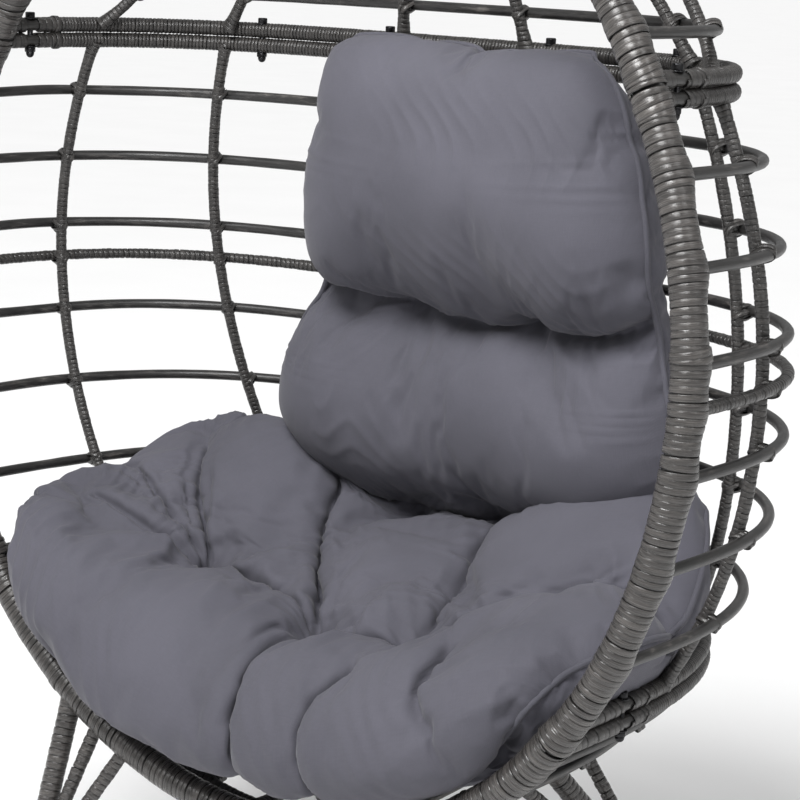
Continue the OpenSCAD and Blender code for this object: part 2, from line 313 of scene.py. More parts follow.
def wound(shape, line, radius, pitch, thick, seed, start=0.0, end=None, section=FLAT_STRIP,
          around=20, jitter=0.07, swell=None, material=0, lean=0.0):
    """A strip wound round a tube. swell(s) gives extra radius and shift along side and across."""
    end = line.length if end is None else end
    turns = max((end - start) / pitch, 1)
    rows = int(turns * around) + 1
    theta = np.arange(rows) * TAU / around
    turn = theta / TAU
    shift = wander(turn, seed, jitter) * pitch
    tilt = wander(turn, seed + 1, 0.35)
    lift = wander(turn, seed + 2, 0.3)
    a, b = section[:, 0], section[:, 1]
    s = start + pitch * (turn[:, None] + a[None] - 0.5) + shift[:, None]
    s = np.clip(s + lean * np.sin(theta)[:, None], start, end)
    height = thick * (b[None] + (lift[:, None] + tilt[:, None] * (a[None] - 0.5)) * (b[None] > 0))
    at, _, side, across = line.read(s)
    r_side = radius - thick * 0.6 + height
    r_across = r_side.copy()
    if swell is not None:
        more_side, more_across, move_side, move_across = swell(s)
        r_side, r_across = r_side + more_side, r_across + more_across
        at = at + side * move_side[..., None] + across * move_across[..., None]
    c, n = np.cos(theta)[:, None, None], np.sin(theta)[:, None, None]
    points = at + side * c * r_side[..., None] + across * n * r_across[..., None]
    along = theta * radius
    one = np.random.default_rng(seed + 3).uniform(0, 1)
    marks = together(along[:, None], a[None], one + turn[:, None] * 0.13)
    shape.grid(points, marks, material, ring=True)


def loop(shape, centre, normal, side, reach, drop, seed, wide=0.0046, thick=0.0008, material=0):
    """A short band round two crossing tubes: reach along side, drop along normal."""
    phi = np.arange(22) * TAU / 22
    ahead = np.cross(normal, side)
    c, n = spow(np.cos(phi), 1.12), np.sin(phi)
    ring = centre + (c * reach)[:, None] * side + (n * drop)[:, None] * normal
    out = unit(np.cos(phi)[:, None] * side / reach + np.sin(phi)[:, None] * normal / drop)
    section = ((-0.5, -0.3), (-0.42, 0.7), (0.0, 1.0), (0.42, 0.7), (0.5, -0.3))
    sag = wander(phi * 3 / TAU * 2, seed, 0.0006)
    points = np.stack([ring + ahead * (w * wide + sag[:, None]) + out * h * thick
                       for w, h in section], 1)
    marks = together((phi * reach)[:, None], np.linspace(0, 1, 5)[None],
                     seed * 0.37 % 1)
    shape.grid(points, marks, material, ring=True, closed_rows=True)


def tie(shape, centre, rod, rib, seed, rod_r=ROD_R, rib_r=RIB_R, material=0):
    """Crossed bands that bind a rod to a rib, the rod on the outside."""
    rod, rib = unit(rod), unit(rib)
    normal = unit(np.cross(rod, rib))
    if normal[1] < 0 and abs(centre[0]) < 0.3 or normal[0] * centre[0] < 0 and abs(centre[0]) >= 0.3:
        normal = -normal
    drop = rod_r + rib_r + 0.0002
    reach = max(rod_r, rib_r) / math.sin(math.radians(52)) + 0.0002
    rng = np.random.default_rng(seed)
    packing = Line(np.linspace(centre - normal * rib_r, centre + normal * rib_r, 5), rib)
    tube(shape, packing, min(rod_r, rib_r) * 0.92, seed, material=material)
    for sign, offsets in ((1, (-0.0034, 0.0012)), (-1, (0.0008,))):
        for k, off in enumerate(offsets):
            turn = math.radians(rng.uniform(30, 48))
            ahead = unit(rod * math.cos(turn) + rib * sign * math.sin(turn))
            side = np.cross(ahead, normal)
            loop(shape, centre + ahead * off, normal, side, reach * rng.uniform(0.96, 1.06),
                 drop * rng.uniform(0.97, 1.05), seed * 7 + k + 3 * sign, material=material)


def lathe(shape, origin, profile, around=32, ridges=None):
    """A turned solid from (radius, height) pairs; ridges = (first row, last row, count, depth)."""
    profile = np.array(profile, float)
    angle = np.arange(around) * TAU / around
    r = np.repeat(profile[:, :1], around, 1)
    if ridges:
        first, last, count, deep = ridges
        r[first:last + 1] -= deep * (0.5 + 0.5 * np.cos(angle * count))[None]
    local = np.stack([r * np.cos(angle), r * np.sin(angle), np.repeat(profile[:, 1:], around, 1)], -1)
    marks = together(angle[None] * 0.01, profile[:, 1:], 0.5)
    shape.grid(local + np.asarray(origin), marks, ring=True)


# ---- Materials ----


class Nodes:
    """A short way to write a material's node tree."""

    def __init__(self, name):
        self.material = bpy.data.materials.new(name)
        self.material.use_nodes = True
        self.tree = self.material.node_tree
        self.shader = self.tree.nodes["Principled BSDF"]

    def add(self, kind, inputs=(), **settings):
        node = self.tree.nodes.new("ShaderNode" + kind)
        for key, value in settings.items():
            setattr(node, key, value)
        for key, value in dict(inputs).items():
            self.put(node.inputs[key], value)
        return node

    def put(self, socket, value):
        if isinstance(value, bpy.types.NodeSocket):
            self.tree.links.new(value, socket)
        else:
            socket.default_value = value

    def math(self, operation, a, b=0.0):
        return self.add("Math", {0: a, 1: b}, operation=operation).outputs[0]

    def ramp(self, value, stops):
        node = self.add("ValToRGB", {0: value})
        ramp = node.color_ramp
        while len(ramp.elements) < len(stops):
            ramp.elements.new(0.5)
        for element, (place, colour) in zip(ramp.elements, stops):
            element.position = place
            element.color = (*colour, 1)
        return node.outputs[0]

    def noise(self, vector, scale, detail=3.0, rough=0.5):
        inputs = {"Vector": vector, "Scale": scale, "Detail": detail, "Roughness": rough}
        return self.add("TexNoise", inputs).outputs[0]

    def scaled(self, vector, scale):
        return self.add("Mapping", {"Vector": vector, "Scale": scale}).outputs[0]

    def strip(self):
        return self.add("Attribute", attribute_name="strip").outputs["Vector"]

    def finish(self, colour, roughness, bump=None, strength=0.3, distance=0.0005, **values):
        self.put(self.shader.inputs["Base Color"], colour)
        self.put(self.shader.inputs["Roughness"], roughness)
        for key, value in values.items():
            self.shader.inputs[key.replace("_", " ")].default_value = value
        if bump is not None:
            node = self.add("Bump", {"Height": bump, "Strength": strength, "Distance": distance})
            self.put(self.shader.inputs["Normal"], node.outputs[0])
        return self.material


def wicker_material(name, dark, middle, light, rough=(0.26, 0.44)):
    """Extruded strip: fine lines along it, a change of tone from turn to turn, and painted shade
    darkening the edges where the strips meet.
    """
    m = Nodes(name)
    strip = m.strip()
    streaks = m.noise(m.scaled(strip, (55, 9, 21)), 1.0, 4.0, 0.62)
    blotch = m.noise(m.scaled(strip, (18, 0.6, 9)), 1.0, 2.0)
    across = m.add("SeparateXYZ", {0: strip}).outputs[1]
    edge = m.math("ABSOLUTE", m.math("SUBTRACT", across, 0.5))
    # Painted shade: the colour is darkened towards both edges of the strip, where the gaps between
    # turns lie
    painted_edge_shade = m.add("MapRange", {0: edge, 1: 0.36, 2: 0.5, 3: 0.0, 4: 0.16}).outputs[0]
    tone = m.math("ADD", m.math("MULTIPLY", streaks, 0.62), m.math("MULTIPLY", blotch, 0.42))
    tone = m.math("SUBTRACT", tone, painted_edge_shade)
    colour = m.ramp(tone, ((0.34, dark), (0.52, middle), (0.68, light)))
    lines = m.noise(m.scaled(strip, (30, 26, 5)), 1.0, 2.0)
    low, high = rough
    roughness = m.add("MapRange", {0: streaks, 1: 0.3, 2: 0.7, 3: low, 4: high}).outputs[0]
    return m.finish(colour, roughness, lines, 0.35, 0.0006, Specular_IOR_Level=0.5)


def rod_material():
    """Smooth dark sheath with broken paler lines like wood grain."""
    m = Nodes("rod_sheath")
    strip = m.strip()
    grain = m.noise(m.scaled(strip, (45, 7, 11)), 1.0, 4.0, 0.7)
    drift = m.noise(m.scaled(strip, (8, 2, 5)), 1.0, 2.0)
    tone = m.math("ADD", m.math("MULTIPLY", grain, 0.75), m.math("MULTIPLY", drift, 0.3))
    colour = m.ramp(tone, ((0.42, (0.010, 0.0096, 0.0094)), (0.57, (0.018, 0.017, 0.0165)),
                           (0.70, (0.078, 0.072, 0.067))))
    roughness = m.add("MapRange", {0: grain, 1: 0.3, 2: 0.7, 3: 0.32, 4: 0.5}).outputs[0]
    return m.finish(colour, roughness, grain, 0.3, 0.0005, Specular_IOR_Level=0.5)


def bolt_material():
    """Black oxide steel, slightly mottled, brighter where it is handled."""
    m = Nodes("black_steel")
    place = m.add("TexCoord").outputs["Object"]
    mottle = m.noise(m.scaled(place, (240, 240, 240)), 1.0, 4.0)
    colour = m.ramp(mottle, ((0.35, (0.010, 0.010, 0.011)), (0.7, (0.03, 0.03, 0.032))))
    roughness = m.add("MapRange", {0: mottle, 1: 0.3, 2: 0.7, 3: 0.22, 4: 0.42}).outputs[0]
    return m.finish(colour, roughness, mottle, 0.15, 0.0002, Metallic=0.85)


def rubber_material():
    """Moulded black rubber with a fine dull grain."""
    m = Nodes("foot_rubber")
    place = m.add("TexCoord").outputs["Object"]
    grain = m.noise(m.scaled(place, (500, 500, 500)), 1.0, 3.0)
    dust = m.noise(m.scaled(place, (40, 40, 90)), 1.0, 3.0)
    colour = m.ramp(dust, ((0.35, (0.014, 0.014, 0.014)), (0.75, (0.04, 0.038, 0.036))))
    roughness = m.add("MapRange", {0: dust, 1: 0.3, 2: 0.7, 3: 0.6, 4: 0.85}).outputs[0]
    return m.finish(colour, roughness, grain, 0.25, 0.0003)


def cloth_material(name, dark, light, weave=0.0011, strength=0.35):
    """Plain-woven polyester: crossed threads, a faint slub and a soft sheen."""
    m = Nodes(name)
    strip = m.strip()
    count = TAU / weave
    parts = m.add("SeparateXYZ", {0: strip})
    warp = m.math("SINE", m.math("MULTIPLY", parts.outputs[0], count))
    weft = m.math("SINE", m.math("MULTIPLY", parts.outputs[1], count))
    threads = m.math("MULTIPLY", warp, weft)
    slub = m.noise(m.scaled(strip, (1300, 120, 1)), 1.0, 2.0)
    slub_across = m.noise(m.scaled(strip, (120, 1300, 1)), 1.0, 2.0)
    drift = m.noise(m.scaled(strip, (7, 7, 1)), 1.0, 3.0)
    tone = m.math("ADD", m.math("MULTIPLY", m.math("ADD", slub, slub_across), 0.16),
                  m.math("MULTIPLY", drift, 0.68))
    tone = m.math("ADD", tone, m.math("MULTIPLY", threads, 0.03))
    colour = m.ramp(tone, ((0.38, dark), (0.62, light)))
    roughness = m.add("MapRange", {0: drift, 1: 0.3, 2: 0.7, 3: 0.78, 4: 0.92}).outputs[0]
    height = m.math("ADD", m.math("MULTIPLY", threads, 0.5), slub)
    return m.finish(colour, roughness, height, strength, 0.0003, Sheen_Weight=0.08,
                    Sheen_Roughness=0.45, Specular_IOR_Level=0.25)


WICKER = wicker_material("wicker_strip", (0.014, 0.0130, 0.0124), (0.037, 0.0340, 0.0322),
                         (0.076, 0.0697, 0.0650), (0.20, 0.34))
FINE = wicker_material("wicker_fine", (0.012, 0.0115, 0.011), (0.027, 0.0250, 0.0238),
                       (0.055, 0.0508, 0.0475))
ROD = rod_material()
BARE = wicker_material("bare_tube", (0.012, 0.0115, 0.011), (0.022, 0.021, 0.020),
                       (0.036, 0.034, 0.032), (0.3, 0.42))
STEEL = bolt_material()
RUBBER = rubber_material()
CLOTH = cloth_material("cushion_cloth", (0.055, 0.054, 0.0665), (0.072, 0.0705, 0.0865))
WELT = cloth_material("welt_cloth", (0.050, 0.049, 0.060), (0.066, 0.065, 0.079), 0.0009)

SIDES = {"right": 1, "left": -1}
Z_UP, Y_UP, X_UP = (0, 0, 1), (0, 1, 0), (1, 0, 0)


def mirrored(path, side):
    return path * np.array([SIDES[side], 1, 1])


# ---- Front tube ----

# Pitch and thickness of the strip on each kind of tube; the band is the extra binding at joints
FRONT_STRIP, BAND_STRIP = (0.0062, 0.0010), (0.0066, 0.0011)
RIB_STRIP, LEG_STRIP = (0.0049, 0.0007), (0.0072, 0.0011)
# How far each front tube runs past the centre of the rail at its end
TUBE_END = 0.0074

def front_swell(line, heights):
    """The wrap bulges backwards where it takes in the end of each rod."""
    places = [line.nearest((sign * half_width(z), front_y(z), z))
              for z in heights for sign in (1, -1)]
    places = [p for p in places if 0.02 < p < line.length - 0.02]
    back = np.sign(line.read(line.length / 2)[3][1])

    def swell(s):
        more = sum(np.exp(-(((s - p) / 0.016) ** 2)) for p in places) if places else 0 * s
        ends = np.exp(-s / 0.012) + np.exp(-(line.length - s) / 0.012)
        return 0.0012 * more + 0.0018 * ends, 0.0030 * more + 0.0018 * ends, 0 * s, back * 0.0030 * more

    return swell


def front_tube(name, path, heights, seed, wraps):
    shape = Shape()
    line = Line(path, Y_UP)
    tube(shape, line, FRONT_R - 0.0016, seed, material=1)
    wound(shape, line, FRONT_R, *FRONT_STRIP, seed, around=24, jitter=0.19,
          swell=front_swell(line, heights), lean=0.0012)
    for k, (place, turns) in enumerate(wraps):
        s = place * line.length
        wound(shape, line, FRONT_R + 0.0010, *BAND_STRIP, seed + 40 + k, s,
              s + turns * BAND_STRIP[0], around=26, swell=front_swell(line, heights), lean=-0.002)
    return shape.build(name, "basket", "wicker_wide", [WICKER, BARE], [name.replace("_wound", "")])


def angle_of(z):
    return float(opening_angle(z))


hood_from = angle_of(RAIL_Z["hood_rail"] - TUBE_END)
front_tube("hood_arch_wound", outline_path(hood_from, math.pi - hood_from, steps=260), HOOD_RODS,
           11, ((0.004, 3), (0.975, 3)))
middle_from = angle_of(RAIL_Z["middle_bottom_rail"] - TUBE_END)
middle_to = angle_of(RAIL_Z["middle_top_rail"] + TUBE_END)
for side in SIDES:
    front_tube("middle_tube_%s_wound" % side,
               mirrored(outline_path(middle_from, middle_to, steps=160), side),
               MIDDLE_RODS, 31 if side == "right" else 57, ((0.0, 3), (0.62, 2), (0.955, 3)))
bowl_to = angle_of(RAIL_Z["bowl_rail"] + TUBE_END)
front_tube("bowl_arc_wound", outline_path(-math.pi - bowl_to, bowl_to, steps=240), BOWL_RODS, 83,
           ((0.0, 3), (0.17, 2), (0.83, 3), (0.972, 3)))

# ---- Ribs, rails and rods ----


def flare(line, reach, extra_side, extra_across):
    """The wrap spreads like a fan where a rib runs into a tube at each end."""

    def swell(s):
        end = np.exp(-s / reach) + np.exp(-(line.length - s) / reach)
        return extra_side * end, extra_across * end, 0 * s, 0 * s

    return swell


def rib_path(section, place):
    a = math.radians(RIBS[place])
    if section == "middle":
        z = np.linspace(RAIL_Z["middle_bottom_rail"], RAIL_Z["middle_top_rail"], 60)
        return level_point(z, a, RIB_IN)
    if section == "bowl":
        return level_point(np.linspace(RING_Z, RAIL_Z["bowl_rail"], 40), a, RIB_IN)
    first = level_point(RAIL_Z["hood_rail"], a, RIB_IN)
    last_x, last_z = opening_point(math.radians(RIB_ENDS[place]))
    s = np.linspace(0, 1, 70)
    x, z = first[0] + (last_x - first[0]) * s, first[2] + (last_z - first[2]) * s
    return np.stack([x, surface_y(z, x, RIB_IN * (1 - s)), z], -1)


rib_lines = {}
seed = 200
for section in ("hood", "middle", "bowl"):
    for place in RIBS:
        for side in SIDES:
            seed += 10
            name = "%s_rib_%s_%s" % (section, side, place)
            shape = Shape()
            line = Line(mirrored(rib_path(section, place), side), X_UP)
            rib_lines[name] = line
            tube(shape, line, RIB_R - 0.0015, seed, material=1)
            wound(shape, line, RIB_R, *RIB_STRIP, seed, around=14, jitter=0.12,
                  swell=flare(line, 0.009, 0.0012, 0.0045), lean=0.0014)
            shape.build(name + "_wound", "basket", "wicker_fine", [FINE, BARE], [name])


def rail(name, seed):
    """A finely wound rail, left bare at the bolts beside the front tubes."""
    upper = "hood" in name or "top" in name
    joint_z = UPPER_Z if upper else LOWER_Z
    z = RAIL_Z[name]
    shape = Shape()
    line = Line(level_path(z, plan_z=joint_z, steps=240), Z_UP)
    bolts = [level_point(joint_z, math.radians(a)) for a in (UPPER_BOLTS if upper else LOWER_BOLTS)]
    near = line.nearest(bolts[0] + (0, 0, z - joint_z))
    bare = (max(near - 0.007, 0.004), near + 0.008)
    broad = near + 0.034
    tube(shape, line, RAIL_R - 0.0008, seed, material=1)
    whole = line.length
    fine = (RAIL_R + 0.0007, 0.0040, 0.0006)
    wide = (RAIL_R + 0.0006, 0.0082, 0.0009)
    for k, (first, last, cut) in enumerate(((0.0, bare[0], wide), (bare[1], broad, wide),
                                            (broad, whole - broad, fine),
                                            (whole - broad, whole - bare[1], wide),
                                            (whole - bare[0], whole, wide))):
        if last - first > 0.006:
            wound(shape, line, *cut, seed + k, first, last, around=16, jitter=0.10, lean=0.0008,
                  section=ROUND_STRIP if cut is fine else FLAT_STRIP)
    for start in (broad - 0.003, whole - broad - 0.003):
        wound(shape, line, RAIL_R + 0.0018, 0.0066, 0.0010, seed + int(start * 1000), start,
              start + 0.0066, around=18, lean=0.0012)
    return shape.build(name + "_wound", "basket", "wicker_fine", [FINE, BARE], [name])


for k, name in enumerate(RAIL_Z):
    rail(name, 900 + 30 * k)


def knot(shape, line, seed, length=0.022, radius=ROD_R + 0.0012):
    """A flared binding at each end of a slat."""
    for start, sign in ((0.0, 1), (line.length - length, -1)):
        mid = start if sign > 0 else start + length

        def swell(s, mid=mid):
            near = np.exp(-np.abs(s - mid) / 0.010)
            return 0.0012 * near, 0.0062 * near, 0 * s, 0 * s

        wound(shape, line, radius, 0.0048, 0.0010, seed + sign, start, start + length, around=16,
              swell=swell, material=1, lean=0.0016)


def rod(name, z, section, seed):
    wrapped = name == "middle_rod_4"  # the only rod that is wound with strip
    path = level_path(z, ROD_OUT, steps=260)
    dip = np.random.default_rng(seed).uniform(-1, 1, 2)
    reach = np.linspace(-1, 1, len(path))
    path[:, 2] += 0.0016 * dip[0] * np.exp(-(((reach - 0.8) / 0.12) ** 2))
    line = Line(path, Z_UP)
    shape = Shape()
    if wrapped:
        tube(shape, line, ROD_R - 0.0012, seed, material=2)
        wound(shape, line, ROD_R, 0.0058, 0.0009, seed, around=14, jitter=0.1, material=1)
    else:
        tube(shape, line, ROD_R, seed, around=14, wobble=0.035)
    for side in SIDES:
        for place in RIBS:
            rib = rib_lines["%s_rib_%s_%s" % (section, side, place)]
            row = rib.at[np.argmin(np.abs(rib.table[:, 2] - z))]
            at_rib, rib_way = rib.read(row)[:2]
            at_rod, rod_way = line.read(line.nearest(at_rib))[:2]
            seed += 1
            tie(shape, (at_rib + at_rod) / 2, rod_way, rib_way, seed, material=1)
    slot = "wicker_fine" if wrapped else "rod_sheath"
    return shape.build(name + "_bound", "basket", slot, [ROD, FINE, BARE], [name])


for section, rods in (("hood", HOOD_RODS), ("middle", MIDDLE_RODS), ("bowl", BOWL_RODS)):
    for k, z in enumerate(rods):
        rod("%s_rod_%d" % (section, k + 1), z, section, 2000 + int(z * 1000))

# ---- The bowl's underside ----

shape = Shape()
inner_to = angle_of(BOWL_RODS[1])
line = Line(outline_path(-math.pi - inner_to, inner_to, INNER_ARC_BACK, 200), Y_UP)
tube(shape, line, INNER_ARC_R - 0.0012, 5, material=1)
wound(shape, line, INNER_ARC_R, 0.0060, 0.0010, 5, around=14, jitter=0.1)
shape.build("bowl_inner_arc_wound", "basket", "wicker_fine", [FINE, BARE], ["bowl_inner_arc"])

shape = Shape()
line = Line(level_path(RING_Z, steps=220), Z_UP)
tube(shape, line, RING_R - 0.0015, 6, material=1)
wound(shape, line, RING_R, 0.0058, 0.0010, 6, around=16, jitter=0.1)
shape.build("bowl_base_ring_wound", "basket", "wicker_fine", [FINE, BARE], ["bowl_base_ring"])

shape = Shape()
for k, a in enumerate((SLATS[0], SLATS[1], SLATS[2], -180 - SLATS[1], -180 - SLATS[2])):
    x, z = (float(v) for v in opening_point(math.radians(a)))
    line = Line(np.linspace((x, -SETBACK + INNER_ARC_BACK, z),
                            (x, float(surface_y(RING_Z, x)), RING_Z), 60), X_UP)
    tube(shape, line, ROD_R, 70 + k, around=14)
    knot(shape, line, 75 + k)
shape.build("bowl_slats_bound", "basket", "rod_sheath", [ROD, FINE], ["bowl_slats"])

# ---- Legs and feet ----


def leg_ends(place, i):
    meet = np.array([FOOT_X, FOOT_Y[place], MEET_Z])
    a = math.radians(LEG_TOPS[place][i])
    if place == "front":
        x, z = opening_point(a)
        return np.array([x, front_y(z), z], float), meet
    return level_point(RING_Z, a), meet


def leg_foot(place, z):
    top, meet = leg_ends(place, 0)
    return meet + (meet - top) * (MEET_Z - z) / (top[2] - MEET_Z)


seed = 3000
for place in LEG_TOPS:
    for side in SIDES:
        for i in range(3):
            seed += 20
            top, meet = leg_ends(place, i)
            foot = leg_foot(place, 0.010) if i == 0 else meet
            r = LEG_R if i == 0 else BRACE_R
            line = Line(mirrored(np.linspace(foot, top, 60), side), Y_UP)
            shape = Shape()
            tube(shape, line, r - 0.0016, seed, material=1)
            wound(shape, line, r, *LEG_STRIP, seed, around=20, jitter=0.09,
                  swell=flare(line, 0.010, 0.0014, 0.0014), lean=0.0016)
            if i == 0:
                first = float(np.linalg.norm(meet - foot)) - 0.020
                wound(shape, line, r + 0.0030, 0.0074, 0.0012, seed + 9, first, first + 0.060,
                      around=20, lean=0.002)
                name = "leg_%s_%s" % (place, side)
            else:
                name = "leg_brace_%s_%s_%d" % (place, side, i)
            shape.build(name + "_wound", "basket", "wicker_wide", [WICKER, BARE], [name])

shape = Shape()
for place in LEG_TOPS:
    for side in SIDES:
        base = leg_foot(place, 0) * np.array([SIDES[side], 1, 1])
        base[2] = 0
        lathe(shape, base, [(0.0135, 0), (0.0148, 0.0006), (0.0158, 0.002), (0.016, 0.004),
                            (0.0156, 0.0045), (0.0156, 0.0055), (0.0159, 0.006), (0.0150, 0.016),
                            (0.0147, 0.0215), (0.0138, 0.0236), (0.0120, 0.024), (0.0112, 0.0225),
                            (0.0108, 0.012), (0.002, 0.011)], 40)
shape.build("foot_caps_moulded", "basket", "foot_rubber", [RUBBER], ["foot_caps"])

# ---- Bolts and nuts ----

bolts, nuts = Shape(), Shape()
for joint_z, angles in ((UPPER_Z, UPPER_BOLTS), (LOWER_Z, LOWER_BOLTS)):
    for a in angles:
        for side in SIDES:
            at = level_point(joint_z, math.radians(a)) * np.array([SIDES[side], 1, 1])
            head = at + (0, 0, STACK)
            lathe(bolts, head, [(0.0047, 0.0), (0.005, 0.0004), (0.005, 0.0050), (0.0046, 0.0058),
                                (0.0042, 0.006), (0.0027, 0.006), (0.0025, 0.0056),
                                (0.0025, 0.0034), (0.0008, 0.0028)], 72,
                  ridges=(1, 2, 24, 0.00032))
            lathe(bolts, head, [(0.0029, -2 * STACK - 0.004), (0.003, -2 * STACK - 0.003),
                                (0.003, 0.0005)], 24)
            lathe(bolts, head, [(0.0062, -0.0010), (0.0066, -0.0007), (0.0066, 0.0001),
                                (0.0060, 0.0004), (0.0035, 0.0004)], 36)
            under = at - (0, 0, STACK)
            lathe(nuts, under, [(0.0062, 0.0012), (0.0066, 0.0009), (0.0066, 0.0001),
                                (0.0060, -0.0002), (0.0035, -0.0002)], 36)
            lathe(nuts, under, [(0.0050, 0.0), (0.0056, -0.0006), (0.0056, -0.0042),
                                (0.0050, -0.005)], 6)
            lathe(nuts, under, [(0.0043, -0.0048), (0.00425, -0.0066), (0.0039, -0.0080),
                                (0.0031, -0.0094), (0.0019, -0.0103), (0.0005, -0.0107)], 28)
bolts.build("joint_bolts_turned", "basket", "black_bolts", [STEEL], ["joint_bolts"])
nuts.build("joint_nuts_domed", "basket", "black_bolts", [STEEL], ["joint_nuts"])

# ---- Cushion ----

# Centre line of the sewn pad from its front seam over the seat and up the back: share of its
# length, y and z of its middle, half width, half thickness, how far its sides rise and come
# forward, and how far it sits to the right
PAD = np.array([
    (0.000, -0.175, 0.221, 0.285, 0.020, 1.00, 0.000, 0.000),
    (0.050, -0.182, 0.252, 0.328, 0.052, 0.95, 0.000, 0.000),
    (0.120, -0.150, 0.286, 0.358, 0.070, 0.85, 0.000, 0.000),
    (0.200, -0.085, 0.300, 0.376, 0.080, 0.75, 0.000, 0.002),
    (0.300, 0.005, 0.320, 0.366, 0.080, 0.70, 0.000, -0.005),
    (0.390, 0.085, 0.360, 0.334, 0.070, 0.80, 0.000, -0.006),
    (0.445, 0.130, 0.402, 0.298, 0.052, 0.72, 0.010, 0.004),
    (0.490, 0.137, 0.462, 0.250, 0.050, 0.25, 0.020, 0.030),
    (0.560, 0.112, 0.545, 0.248, 0.074, 0.00, 0.030, 0.046),
    (0.640, 0.102, 0.622, 0.228, 0.058, 0.00, 0.030, 0.060),
    (0.680, 0.096, 0.660, 0.212, 0.046, 0.00, 0.025, 0.070),
    (0.740, 0.068, 0.716, 0.206, 0.068, 0.00, 0.025, 0.078),
    (0.860, 0.054, 0.826, 0.190, 0.062, 0.00, 0.020, 0.076),
    (0.950, 0.050, 0.896, 0.166, 0.042, 0.00, 0.015, 0.066),
    (1.000, 0.056, 0.918, 0.148, 0.016, 0.00, 0.010, 0.058),
])


def smooth_table(table, at):
    """Catmull-Rom reading of a table's columns, its first column being the place."""
    x = table[:, 0]
    slope = np.gradient(table[:, 1:], x, axis=0)
    i = np.clip(np.searchsorted(x, at, "right") - 1, 0, len(x) - 2)
    h = (x[i + 1] - x[i])[:, None]
    t = ((at - x[i]) / (x[i + 1] - x[i]))[:, None]
    p, q, m, n = table[i, 1:], table[i + 1, 1:], slope[i] * h, slope[i + 1] * h
    return ((2 * t**3 - 3 * t**2 + 1) * p + (t**3 - 2 * t**2 + t) * m
            + (3 * t**2 - 2 * t**3) * q + (t**3 - t**2) * n)


def pad_grid(columns, rows):
    """Front and back skins of the pad, and its cloth coordinates in metres."""
    v = np.linspace(0, 1, rows)
    y, z, wide, thick, rise, forward, right = smooth_table(PAD, v).T
    u = np.sin(np.linspace(-1, 1, columns) * math.pi / 2 * 0.93) / math.sin(math.pi / 2 * 0.93)
    x = right[:, None] + wide[:, None] * u[None]
    lift = 0.476 * (1 - np.sqrt(np.clip(1 - (x / 0.495) ** 2, 0, 1)))
    # The seat climbs at both sides, towards the back
    near_back = np.exp(-(((v - 0.415) / 0.070) ** 2))[:, None]
    climb = near_back * (0.040 * np.clip(x / 0.22, 0, 1) ** 1.5 - 0.25 * np.clip(x - 0.27, 0, 1)
                         + 0.036 * np.exp(-(((x + 0.20) / 0.075) ** 2)))
    middle = np.stack([x, y[:, None] - forward[:, None] * u[None] ** 2,
                       z[:, None] + lift * rise[:, None] + climb], -1)
    du = np.gradient(middle, axis=1)
    dv = np.gradient(middle, axis=0)
    normal = unit(np.cross(du, dv))
    edge_u = (1 - np.abs(u) ** 5) ** 0.5
    edge_v = np.clip(v / 0.05, 0, 1) ** 0.5 * np.clip((1 - v) / 0.04, 0, 1) ** 0.5
    fat = thick[:, None] * edge_u[None] * edge_v[:, None]
    along = np.concatenate([[0], np.cumsum(np.hypot(np.diff(y), np.diff(z)))])
    flat = np.stack([x, np.repeat(along[:, None], columns, 1)], -1)
    return middle, normal, fat, flat, v


COLUMNS, ROWS = ((136, 190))
middle, normal, fat, flat, pad_v = pad_grid(COLUMNS, ROWS)
front = middle + normal * fat[..., None]
if front[ROWS // 2, COLUMNS // 2, 1] > middle[ROWS // 2, COLUMNS // 2, 1]:
    normal = -normal
    front = middle + normal * fat[..., None]
rear = middle - normal * fat[..., None] * 0.85


def nearest_on_pad(x, v):
    i = int(np.argmin(np.abs(pad_v - v)))
    return i, int(np.argmin(np.abs(middle[i, :, 0] - x)))


# Buttons as (x, share along the pad, depth); stitched creases as pairs of (x, share)
BUTTONS = ((-0.175, 0.235, 0.068), (0.012, 0.200, 0.066), (0.145, 0.205, 0.062),
           (-0.17, 0.458, 0.034), (-0.035, 0.462, 0.042), (0.085, 0.465, 0.040),
           (-0.010, 0.680, 0.050), (0.138, 0.684, 0.050))
CREASES = (((-0.175, 0.235), (-0.29, 0.37), 0.040), ((-0.175, 0.235), (-0.34, 0.28), 0.026),
           ((-0.175, 0.235), (-0.33, 0.19), 0.020), ((-0.175, 0.235), (0.012, 0.200), 0.040),
           ((0.012, 0.200), (-0.17, 0.458), 0.040), ((0.012, 0.200), (0.03, 0.05), 0.036),
           ((0.012, 0.200), (0.145, 0.205), 0.040), ((0.145, 0.205), (0.085, 0.465), 0.034),
           ((0.145, 0.205), (0.29, 0.30), 0.036), ((0.14, 0.12), (0.13, 0.05), 0.022),
           ((0.25, 0.13), (0.27, 0.06), 0.016), ((-0.22, 0.475), (0.32, 0.475), 0.028),
           ((-0.14, 0.684), (-0.010, 0.680), 0.034), ((-0.010, 0.680), (0.138, 0.684), 0.036),
           ((0.138, 0.684), (0.290, 0.704), 0.034))


def flat_xy(x, v):
    i, j = nearest_on_pad(x, v)
    return flat[i, j]


def crease_place(at, first, last):
    """Share along a stitched crease of cloth points, and their signed distance from it."""
    p, q = flat_xy(*first), flat_xy(*last)
    length = np.linalg.norm(q - p)
    way = (q - p) / length
    t = (at - p) @ way / length
    bend = 0.012 * np.sin(np.clip(t, 0, 1) * math.pi) * math.copysign(1, first[0] + last[0])
    d = (at - p) @ np.array([-way[1], way[0]]) + bend
    beyond = np.maximum(np.maximum(-t, t - 1), 0) * length
    return np.clip(t, 0, 1), t * length, np.copysign(np.hypot(d, beyond), d)


def crease_fade(t, first, last):
    """Creases across the back keep their depth; the others grow shallow away from the button."""
    return np.ones_like(t) if abs(first[1] - last[1]) < 0.03 else 1 - 0.6 * t


